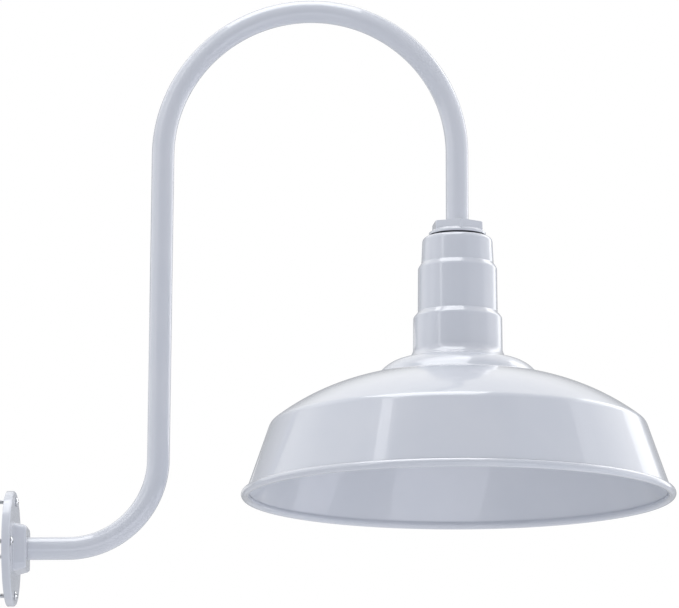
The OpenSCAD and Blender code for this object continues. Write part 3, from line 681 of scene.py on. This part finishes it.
def add_flange():
    """The casting is one closed loft, with holes for its five screws."""
    at = at_flange
    low, top = FLANGE_THICK, FLANGE_THICK + BOSS_H
    base = BOSS_W / 2
    front = base - BOSS_H * BOSS_TAPER
    edge, recess_r = FLANGE_R - FLANGE_BEVEL, FLANGE_R - FLANGE_RIM
    # the recess at the back, the rim and the plate's face
    loops = [round_to_match(r, z, at) for r, z in (
        (WIRE_PASSAGE_R, RECESS_DEPTH), (recess_r, RECESS_DEPTH), (recess_r, 0.3),
        (recess_r + 0.3, 0), (FLANGE_R - 0.4, 0), (FLANGE_R, 0.4),
        (FLANGE_R, low - FLANGE_BEVEL - 0.3), (FLANGE_R - 0.1, low - FLANGE_BEVEL),
        (edge + 0.25, low - 0.35), (edge, low - 0.1), (edge - 0.35, low))]
    # the fillet at the boss's foot, its sloped sides and its chamfer
    for grow, z in ((1.05, 0), (0.56, 0.1), (0.2, 0.4), (-0.08, 0.8), (-0.36, 1.4)):
        loops.append(rounded_square(base + grow, BOSS_CORNER + grow, low + z, at))
    for share in (0.35, 0.65, 0.86):
        loops.append(rounded_square(base - BOSS_H * BOSS_TAPER * share,
                                    BOSS_CORNER + (BOSS_TOP_CORNER - BOSS_CORNER) * share,
                                    low + BOSS_H * share, at))
    for grow, z in ((0.12, BOSS_CHAMFER), (-0.05, BOSS_CHAMFER - 0.3), (-0.6, 0.22),
                    (-0.8, 0.05), (-1.1, 0)):
        loops.append(rounded_square(front + grow, BOSS_TOP_CORNER, top - z, at))
    # the groove round the pipe, and the pipe's bore
    loops += [round_to_match(PIPE_R + r, z, at) for r, z in (
        (PIPE_GROOVE_W + 0.5, top), (PIPE_GROOVE_W + 0.15, top - 0.12),
        (PIPE_GROOVE_W, top - 0.4), (PIPE_GROOVE_W, top - PIPE_GROOVE_DEPTH),
        (PIPE_GAP, top - PIPE_GROOVE_DEPTH - 0.05), (PIPE_GAP, PIPE_START_X),
        (WIRE_PASSAGE_R - PIPE_R, PIPE_START_X))]
    casting = finish_mesh("flange_casting", *lofted(loops, ring=True), sharp=42)
    holes = [rod_mesh(SCREW_R + HOLE_GAP, -FLANGE_THICK - 1, 1, place)
             for place in screw_places()]
    set_hole = frame_at((FLANGE_THICK + BOSS_H * SET_SCREW_SHARE, 0, 0), (0, 1, 0), (1, 0, 0))
    holes.append(rod_mesh(SET_SCREW_R, PIPE_R - 1, BOSS_W, set_hole))
    cut(casting, holes, sharp=42)
    dress(casting, CAST_WHITE, "white_enamel", "fixture", "wall_flange")


add_flange()


# ---- wall screws ----

def machine_thread(u, ease):
    """A thread's radius at share u of its pitch, with narrow flats at crest and root."""
    height = min(1, max(0, (1 - abs(2 * u - 1)) * 1.3 - 0.1))
    return SCREW_ROOT_R + (SCREW_R - SCREW_ROOT_R) * height * ease


def head_outline(radius, height):
    """A domed screw head as (radius, height) points, from its crown to its underside."""
    edge = height * HEAD_EDGE
    rise = height - edge
    dome_r = (radius ** 2 + rise ** 2) / (2 * rise)
    crown = arc((0, height - dome_r), dome_r, math.pi / 2, math.asin(1 - rise / dome_r), 6)
    return crown[:-1] + softened([(*crown[-2], 0), (*crown[-1], 0.35), (radius, edge * 0.5, 0.3),
                                  (radius - 0.15, 0, 0.1), (radius * 0.4, 0, 0)],
                                 closed=False)[1:]


def in_recess(point):
    """Whether a point, in its screw's own frame, lies well below the head's crown."""
    fall = (1 - HEAD_EDGE) * (point.xy.length / HEAD_R) ** 2
    return 0.3 < point.z < HEAD_H * (1 - fall) - 0.25


def add_wall_screws():
    head = head_outline(HEAD_R, HEAD_H)
    heads, shanks, cutters = [], [], []
    circle = even_angles(28)
    slot = (2.3 * HEAD_R, SLOT_TOP_W), (2.3 * HEAD_R, SLOT_FLOOR_W), SLOT_DEPTH
    for place in screw_places():
        tip = [circle_loop(SCREW_TIP_R, -SCREW_LEN, place, circle)]
        shank = thread_mesh(place, machine_thread, SCREW_TIP_H - SCREW_LEN, -FLANGE_THICK,
                            SCREW_PITCH, circle, per_turn=7)
        neck = [circle_loop(SCREW_NECK_R, z, place, circle) for z in (-FLANGE_THICK, -0.1)]
        shanks.append(lofted(tip + shank + neck, closed_ends=True))
        heads.append(turned_mesh(head, place, 48, ring=False))
        crown = place @ Matrix.Translation((0, 0, HEAD_H + 0.02))
        across = crown @ Matrix.Rotation(math.pi / 2, 4, "Z")
        cutters += [tapered_bar(CROSS_TOP, CROSS_FLOOR, CROSS_DEPTH, bar)
                    for bar in (crown, across)]
        cutters.append(tapered_bar(*slot, crown))
    screws = finish_mesh("wall_screw_heads", *merged(*heads), sharp=40)
    cut(screws, cutters)
    dress(screws, CHROME, "screw_chrome", "fixture", "flange_screws")
    # faces deep in each cross and slot take the second, near-black material: painted shade
    screws.data.materials.append(RECESS_SHADE)
    backs = [place.inverted() for place in screw_places()]
    for face in screws.data.polygons:
        nearest = min((back @ (face.center / MM) for back in backs), key=lambda p: p.xy.length)
        if in_recess(nearest):
            face.material_index = 1
    rods = finish_mesh("wall_screw_shanks", *merged(*shanks), sharp=40)
    dress(rods, ZINC, "screw_chrome", "fixture", "flange_screws")


add_wall_screws()


# ---- hub: a hexagon with a sloped flange, a flat washer and a rubber ring ----

def hexagon_r(angle, af, corner):
    """Distance from the centre to a hexagon with rounded corners; a corner is at angle 0."""
    off_corner = abs((angle + math.pi / 6) % (math.pi / 3) - math.pi / 6)
    centre = (af / 2 - corner) / math.cos(math.pi / 6)
    meets = math.atan2(corner * 0.5, centre + corner * math.cos(math.pi / 6))
    if off_corner > meets:
        return af / 2 / math.cos(math.pi / 6 - off_corner)
    return centre * math.cos(off_corner) + math.sqrt(
        corner ** 2 - (centre * math.sin(off_corner)) ** 2)


def hexagon_angles(reach=1.2, per_corner=6, per_side=24):
    """Angles round a hexagon, closer together within reach degrees of its corners."""
    near = [reach * (2 * i / per_corner - 1) for i in range(per_corner + 1)]
    between = [reach + (60 - 2 * reach) * i / per_side for i in range(1, per_side)]
    return [math.radians(60 * k + d) for k in range(6) for d in near + between]


ANGLES = hexagon_angles()


def hexagon_loops(af, h, place, corner, turned_off, foot):
    """Loops of a hexagon that stands on local z = 0; foot gives its loops below the sides."""
    radii = [hexagon_r(a, af, corner) for a in ANGLES]
    face_r = af / 2 / math.cos(math.pi / 6) - turned_off
    slope = math.tan(math.radians(30))
    drop = lambda r: max(0, r - face_r) * slope

    def loop(radius_of, height_of):
        return [place @ Vector((*(radius_of(r) * unit(a)), height_of(r)))
                for a, r in zip(ANGLES, radii)]

    def turned_face(up):
        """From the side to the face; up is +1 for the top and -1 for the underside."""
        z = lambda depth: h - depth if up > 0 else depth
        inset = lambda r, by: min(r - by, face_r - by + 0.35)
        return [loop(lambda r: r, lambda r: z(drop(r) + 0.3)),
                loop(lambda r: r - 0.1, lambda r: z(drop(r) + 0.08)),
                loop(lambda r: r - 0.35, lambda r: z(drop(r - 0.35) + 0.01)),
                loop(lambda r: inset(r, 0.4), lambda r: z(0.02)),
                loop(lambda r: inset(r, 0.8), lambda r: z(0))]

    below = turned_face(-1)[::-1] if foot is None else [loop(*pair) for pair in foot]
    return below + turned_face(1)


def blended(a, b, width=0.5):
    """The larger of two radii, with a small fillet where they meet."""
    share = max(0.0, 1 - abs(a - b) / width)
    return max(a, b) + share * share * width / 4


def sharp_thread(root, height):
    """A V thread's radius at share u of its pitch; a negative height cuts it in a bore."""
    return lambda u, ease: root + height * ease * (1 - abs(2 * u - 1))


def add_hub():
    place = at_shade @ Matrix.Translation((0, 0, HEX_BASE)) @ Matrix.Rotation(
        HEX_TURN - math.radians(90), 4, "Z")

    def on_flange(z, inset=0.0):
        cone = HEX_FLANGE_R - z * HEX_FLANGE_SLOPE - inset
        return lambda r: blended(r, cone), lambda r: z

    rise = HEX_FLANGE_H
    foot = [(lambda r: HEX_FLANGE_R - 0.5, lambda r: 0), on_flange(0.02, 0.1)]
    foot += [on_flange(rise * share) for share in (0.1, 0.25, 0.4, 0.55, 0.7, 0.85, 0.94)]
    foot += [on_flange(rise, 0.15), (lambda r: r + 0.15, lambda r: rise + 0.02),
             (lambda r: r, lambda r: rise + 0.2)]
    loops = hexagon_loops(HEX_AF, HEX_H, place, 0.7, 1.0, foot)
    bottom = -HEX_BASE - BARREL_DROP
    seat = HEX_H - PIPE_GRIP
    loops += [circle_loop(r, z, place, ANGLES) for r, z in (
        (PIPE_R + 1.0, HEX_H), (PIPE_R + 0.45, HEX_H - 0.2), (PIPE_R + PIPE_GAP, HEX_H - 0.7),
        (PIPE_R + PIPE_GAP, seat), (WIRE_PASSAGE_R, seat), (WIRE_PASSAGE_R, bottom),
        (BARREL_R - 0.8, bottom))]
    loops += thread_mesh(place, sharp_thread(BARREL_R - HUB_THREAD_DEPTH, HUB_THREAD_DEPTH),
                         bottom + 0.4, -HEX_BASE - 2, HUB_PITCH, ANGLES, per_turn=8)
    loops += [circle_loop(BARREL_R, z, place, ANGLES) for z in (-HEX_BASE - 1.8, 0)]
    hub = finish_mesh("hub_hexagon", *lofted(loops, ring=True), sharp=25)
    dress(hub, WHITE, "white_enamel", "fixture", "hex_hub")

    hole_r = BARREL_R + HOLE_GAP
    low, high = HUB_GASKET_T, HUB_GASKET_T + WASHER_H
    washer = turned("hub_flat_washer", softened([
        (hole_r, low, 0), (WASHER_R, low, 0.3), (WASHER_R, high, 0.45), (hole_r, high, 0)]),
        at_shade, 160)
    dress(washer, WHITE, "white_enamel", "fixture", "hub_washer")

    ring = turned("hub_rubber_ring", softened([
        (hole_r, 0.0, 0), (HUB_GASKET_R - 0.1, 0.0, 0.5), (HUB_GASKET_R, HUB_GASKET_T / 2, 0.5),
        (HUB_GASKET_R - 0.1, HUB_GASKET_T, 0.5), (hole_r, HUB_GASKET_T, 0)]), at_shade, 128)
    dress(ring, RUBBER, "black_rubber", "fixture", "hub_gasket")


add_hub()


# ---- the locknut, and the lamp with its socket ----

def heights(name):
    """A CAD node's lowest and highest point and its widest radius, from the shade's top."""
    low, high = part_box(name)
    return (low.z / MM - SHADE_TOP_Z, high.z / MM - SHADE_TOP_Z, (high.y - low.y) / 2 / MM)


def add_locknut():
    low, high, _ = heights("hub_locknut")
    place = at_shade @ Matrix.Translation((0, 0, low))
    height = high - low
    root = BARREL_R + LOCKNUT_GAP + LOCKNUT_THREAD_DEPTH
    loops = hexagon_loops(LOCKNUT_AF, height, place, 0.5, 3.0, None)
    loops += [circle_loop(root + 0.1, height, place, ANGLES)]
    loops += thread_mesh(place, sharp_thread(root, -LOCKNUT_THREAD_DEPTH),
                         0.3, height - 0.3, HUB_PITCH, ANGLES, per_turn=8)[::-1]
    loops += [circle_loop(root + 0.1, 0, place, ANGLES)]
    nut = finish_mesh("hub_locknut_threaded", *lofted(loops, ring=True), sharp=25)
    dress(nut, STEEL, "plain_steel", "fixture", "hub_locknut")


add_locknut()


def rolled(crest, depth):
    """A rolled lamp thread's radius at share u of its pitch."""
    return lambda u, ease: crest - depth * (0.5 - 0.5 * math.cos(2 * math.pi * u)) * ease


LAMP_CIRCLE = even_angles(72)


def circles(pairs):
    """Loops round the lamp's axis, one for each (radius, height)."""
    return [circle_loop(r, z, at_shade, LAMP_CIRCLE) for r, z in pairs]


def add_lamp_base():
    low, high, crest = heights("lamp_base")
    shoulder = high - 3.0
    loops = circles([(crest - 1.4, low), (crest - 0.35, low), (crest - 0.2, low + 0.3)])
    loops += thread_mesh(at_shade, rolled(crest - 0.02, LAMP_THREAD_DEPTH), low + 0.8, shoulder,
                         LAMP_PITCH, LAMP_CIRCLE, per_turn=12)
    loops += circles([(crest - 0.5, shoulder + 0.5), (crest - 1.6, shoulder + 1.4),
                      (crest - 3.2, high - 0.3), (crest - 3.6, high), (crest - 5, high)])
    base = finish_mesh("lamp_base_rolled", *lofted(loops, closed_ends=True), sharp=50)
    dress(base, LAMP_METAL, "lamp_metal", "lamp", "lamp_base")

    low, high, _ = heights("lamp_insulator")
    ring = turned("lamp_tip_glass", softened([
        (0, low, 0), (TIP_GLASS_R, low, 0.2), (TIP_GLASS_R - 0.2, low + 0.5, 0.4),
        (TIP_GLASS_NECK_R, high - 0.4, 1.0), (TIP_GLASS_TOP_R, high, 0.3), (0, high, 0)],
        closed=False), at_shade, 72, ring=False)
    dress(ring, LAMP_BLACK, "lamp_black", "lamp", "lamp_insulator")

    low, high, tip_r = heights("lamp_contact")
    tip = turned("lamp_tip_contact", softened([
        (0, low, 0), (tip_r, low, 0.1), (tip_r - 0.1, low + 0.5, 0.3),
        (tip_r - 1.4, high - 0.1, 0.8), (0, high, 0)], closed=False), at_shade, 72, ring=False)
    dress(tip, BRASS, "brass", "lamp", "lamp_contact")


add_lamp_base()


def add_lamp_body():
    low, high, mouth_r = heights("lamp_housing")
    ball_low, _, ball_r = heights("lamp_globe")
    collar_r = SHELL_IN_R - 0.3
    fall, spread = high - low - COLLAR_H, mouth_r - collar_r
    # the flare starts upright and ends along the globe
    end_slope = fall * (low - ball_low - ball_r) / mouth_r
    rows = 24
    flare = []
    for i in range(rows + 1):
        t = i / rows
        r = collar_r + spread * (3 * t * t - 2 * t ** 3) + end_slope * (t ** 3 - t * t)
        flare.append(Vector((r, high - COLLAR_H - fall * t)))
    seam = flare[-1]
    outline = softened([(0, high, 0), (collar_r, high, 0.4), (collar_r, high - 1.6, 0.1),
                        (collar_r - 0.3, high - 1.8, 0.1), (collar_r - 0.3, high - 2.2, 0.1),
                        (collar_r, high - 2.4, 0.1), (*flare[0], 0)], closed=False)
    outline += flare[1:-1] + [seam + Vector((-0.02, 0.35)), seam + Vector((-0.3, 0.05)),
                              Vector((0, low))]
    body = turned("lamp_body", outline, at_shade, 128, ring=False)
    dress(body, LAMP_PLASTIC, "lamp_plastic", "lamp", "lamp_housing")

    centre = Vector((0, ball_low + ball_r))
    rim = math.acos(min(1, mouth_r / ball_r))
    inner_r = ball_r - GLOBE_WALL
    ball = arc(centre, ball_r, -math.pi / 2, rim - 0.012, 4)
    hollow = arc(centre, inner_r, math.asin((low - centre.y - 0.2) / inner_r), -math.pi / 2, 4)
    lip = [ball[-1] + Vector((-0.25, 0.28)), Vector((hollow[0].x + 0.1, low - 0.05))]
    globe = turned("lamp_ball", ball + lip + hollow, at_shade, 128, ring=False)
    dress(globe, GLOBE, "frosted_globe", "lamp", "lamp_globe")


add_lamp_body()


def add_socket():
    low, high, wide = heights("socket_body")
    top_low = high - SOCKET_HEAD_H
    inner, bore = wide - SOCKET_INSET, SHELL_IN_R + 0.45
    outline = softened([
        (0, high, 0), (wide, high, 1.4), (wide, top_low + SOCKET_INSET, 1.0),
        (inner, top_low, 1.2), (inner, low, 1.6), (bore, low, 0.8),
        (bore, low + SOCKET_BORE_DEPTH, 0.5), (0, low + SOCKET_BORE_DEPTH, 0)], closed=False)
    body = turned("socket_ceramic", outline, at_shade, 128, ring=False)
    holes = []
    for x, y, r, deep in ((FOOT_HOLE_X, 0, FOOT_HOLE_R, FOOT_HOLE_DEPTH),
                          (0, TERMINAL_HOLE_Y, TERMINAL_HOLE_R, TERMINAL_HOLE_DEPTH)):
        for way in (1, -1):
            place = at_shade @ Matrix.Translation((way * x, way * y, high))
            holes.append(rod_mesh(r, -deep, 1, place, 24))
    cut(body, holes)
    dress(body, CERAMIC, "ceramic", "fixture", "socket_body")

    low, high, outer = heights("screw_shell")
    inner, ring_r, floor = outer - SHELL_FLOOR_T, outer - SHELL_FLOOR_RING, high - SHELL_FLOOR_T
    wall, back = (thread_mesh(at_shade, rolled(crest, SHELL_THREAD_DEPTH), low + 0.4, high - 2,
                              LAMP_PITCH, LAMP_CIRCLE, per_turn=12)
                  for crest in (outer - SHELL_WALL, outer))
    loops = circles([(outer, low), (outer - 0.3, low)]) + wall
    loops += circles([(inner, floor), (ring_r, floor), (ring_r, high), (outer, high)])
    loops += back[::-1]
    shell = finish_mesh("socket_rolled_shell", *lofted(loops, ring=True), sharp=50)
    dress(shell, BRASS, "brass", "fixture", "screw_shell")


add_socket()


# ---- CAD nodes that keep their shape get their materials and softer edges ----

# node: material, and the width of its softened edges in millimetres
KEPT = {
    "flange_gasket": (RUBBER, 0.3), "arm_set_screw": (STEEL, 0.15), "inner_washer": (STEEL, 0.2),
    "socket_bracket": (STEEL, 0.25), "bracket_screws": (STEEL, 0.2),
    "ground_screw": (GREEN_SCREW, 0.2), "centre_contact": (BRASS, 0.2),
    "terminal_screws": (BRASS, 0.2), "wire_black": (BLACK_WIRE, 0), "wire_white": (WHITE_WIRE, 0),
    "wire_green": (GREEN_WIRE, 0), "led_board": (BOARD, 0.1),
}


def keep(name, material, edge):
    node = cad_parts[name]
    for holder in node.material_slots:
        holder.material = material
    if edge:
        bevel = node.modifiers.new("soft_edges", "BEVEL")
        bevel.width = edge * MM
        bevel.segments = 2
        bevel.limit_method = "ANGLE"
        bevel.angle_limit = math.radians(50)
        bevel.harden_normals = True


for name, (material, edge) in KEPT.items():
    keep(name, material, edge)


# ---- floor, world and lights ----

def seen_directly(nodes, links):
    """1 for what the camera sees, also in gloss and through glass, and 0 for lighting."""
    path = nodes.new("ShaderNodeLightPath")
    seen = path.outputs["Is Camera Ray"]
    for name in ("Is Glossy Ray", "Is Transmission Ray"):
        either = nodes.new("ShaderNodeMath")
        either.operation = "MAXIMUM"
        links.new(seen, either.inputs[0])
        links.new(path.outputs[name], either.inputs[1])
        seen = either.outputs[0]
    return seen


FLOOR_HALF, FLOOR_Z, FLOOR_GLOW = 9.0, -1.5, 0.22


def add_floor():
    """A pale floor well below the part; its glow shows only to the camera and in gloss."""
    mesh = bpy.data.meshes.new("floor")
    mesh.from_pydata([(x * FLOOR_HALF, y * FLOOR_HALF, FLOOR_Z)
                      for x, y in ((-1, -1), (1, -1), (1, 1), (-1, 1))], [], [(0, 1, 2, 3)])
    floor = bpy.data.objects.new("floor", mesh)
    bpy.context.scene.collection.objects.link(floor)
    g = Graph("pale_floor")
    g.set(Roughness=0.85)
    g.tint(g.noise(1.5, 3), (0.78, 0.785, 0.79), (0.81, 0.815, 0.82))
    g.set(Emission_Color=(1, 1, 1, 1))
    g.links.new(g.spread(seen_directly(g.nodes, g.links), 0, FLOOR_GLOW, (0, 1)),
                g.shader.inputs["Emission Strength"])
    mesh.materials.append(g.material)


WHITE_SKY, GREY_SKY, SOFT_SKY = (1.0, 1.0, 1.0), (0.44, 0.45, 0.47), (0.43, 0.45, 0.495)


def add_world():
    """White for the camera. For gloss, white high up behind and grey elsewhere, as in a
    studio with a lit backdrop. For all else, soft even light."""
    world = bpy.data.worlds.new("world")
    world.use_nodes = True
    bpy.context.scene.world = world
    nodes, links = world.node_tree.nodes, world.node_tree.links
    path = nodes.new("ShaderNodeLightPath")

    def blend(factor, a, b):
        node = nodes.new("ShaderNodeMix")
        node.data_type = "RGBA"
        links.new(factor, node.inputs["Factor"])
        for value, socket in ((a, node.inputs["A"]), (b, node.inputs["B"])):
            if isinstance(value, tuple):
                socket.default_value = (*value, 1)
            else:
                links.new(value, socket)
        return node.outputs["Result"]

    split = nodes.new("ShaderNodeSeparateXYZ")
    links.new(nodes.new("ShaderNodeTexCoord").outputs["Generated"], split.inputs[0])

    def rising(axis, low, high):
        node = nodes.new("ShaderNodeMapRange")
        node.interpolation_type = "SMOOTHSTEP"
        node.inputs["From Min"].default_value = low
        node.inputs["From Max"].default_value = high
        links.new(split.outputs[axis], node.inputs["Value"])
        return node.outputs["Result"]

    behind = nodes.new("ShaderNodeMath")
    behind.operation = "MULTIPLY"
    links.new(rising("Y", 0.0, 0.5), behind.inputs[0])
    links.new(rising("Z", 0.3, 0.65), behind.inputs[1])
    mirrored = blend(behind.outputs[0], GREY_SKY, WHITE_SKY)
    lit = blend(seen_directly(nodes, links), SOFT_SKY, mirrored)
    shown = blend(path.outputs["Is Camera Ray"], lit, WHITE_SKY)
    links.new(shown, nodes["Background"].inputs["Color"])


MIDDLE = Vector((0.32, 0, 0.24))    # about the middle of the part
PLAIN, COOL = (1.0, 1.0, 1.0), (0.9, 0.91, 1.0)


def add_light(name, offset, rotation, width, height, level, colour=PLAIN):
    """A soft panel at an offset from the part's middle; level 1 is as bright as white."""
    data = bpy.data.lights.new(name, "AREA")
    data.shape = "RECTANGLE"
    data.size, data.size_y = width, height
    data.energy = level * math.pi * width * height
    data.color = colour
    lamp = bpy.data.objects.new(name, data)
    lamp.location = MIDDLE + offset
    lamp.rotation_euler = rotation
    lamp.visible_camera = False
    bpy.context.scene.collection.objects.link(lamp)


def add_panel(name, azimuth, rise, distance, width, height, level, colour=PLAIN):
    """A soft panel that faces the part; azimuth 0 is in front of it and 90 on its right."""
    a, e = math.radians(azimuth), math.radians(rise)
    out = Vector((math.sin(a) * math.cos(e), -math.cos(a) * math.cos(e), math.sin(e)))
    add_light(name, distance * out, out.to_track_quat("Z", "Y").to_euler(), width, height,
              level, colour)


add_floor()
add_world()
add_light("top_box", Vector((-0.35, -0.17, 2.2)), (0, 0, 0), 1.6, 1.65, 2.7)
add_light("low_fill", Vector((1.8, 0, -1.4)), (math.pi, 0, 0), 3.2, 4.0, 0.13, COOL)
# name, azimuth and rise in degrees, distance, width and height in metres, level, colour
for panel in (
        ("left_panel", -88, 25, 2.4, 3.6, 2.6, 0.38),
        ("left_low", -100, 8, 2.4, 2.8, 0.9, 0.3),
        ("left_back", -150, 3, 2.4, 1.1, 0.6, 0.4),
        ("left_strip", -46, 27, 2.4, 0.26, 2.6, 1.5),
        ("right_soft", 62, 15, 2.4, 2.4, 2.4, 0.2),
        ("right_panel", 116, 18, 2.2, 2.6, 2.4, 0.65),
        ("right_strip", 134, 18, 2.2, 0.7, 2.4, 0.8),
        ("right_low", 92, -14, 2.4, 1.6, 1.0, 0.6, COOL),
        ("low_card", 13, -28, 2.2, 2.3, 0.8, 0.7, COOL)):
    add_panel(*panel)

bpy.context.scene.view_settings.view_transform = "Standard"
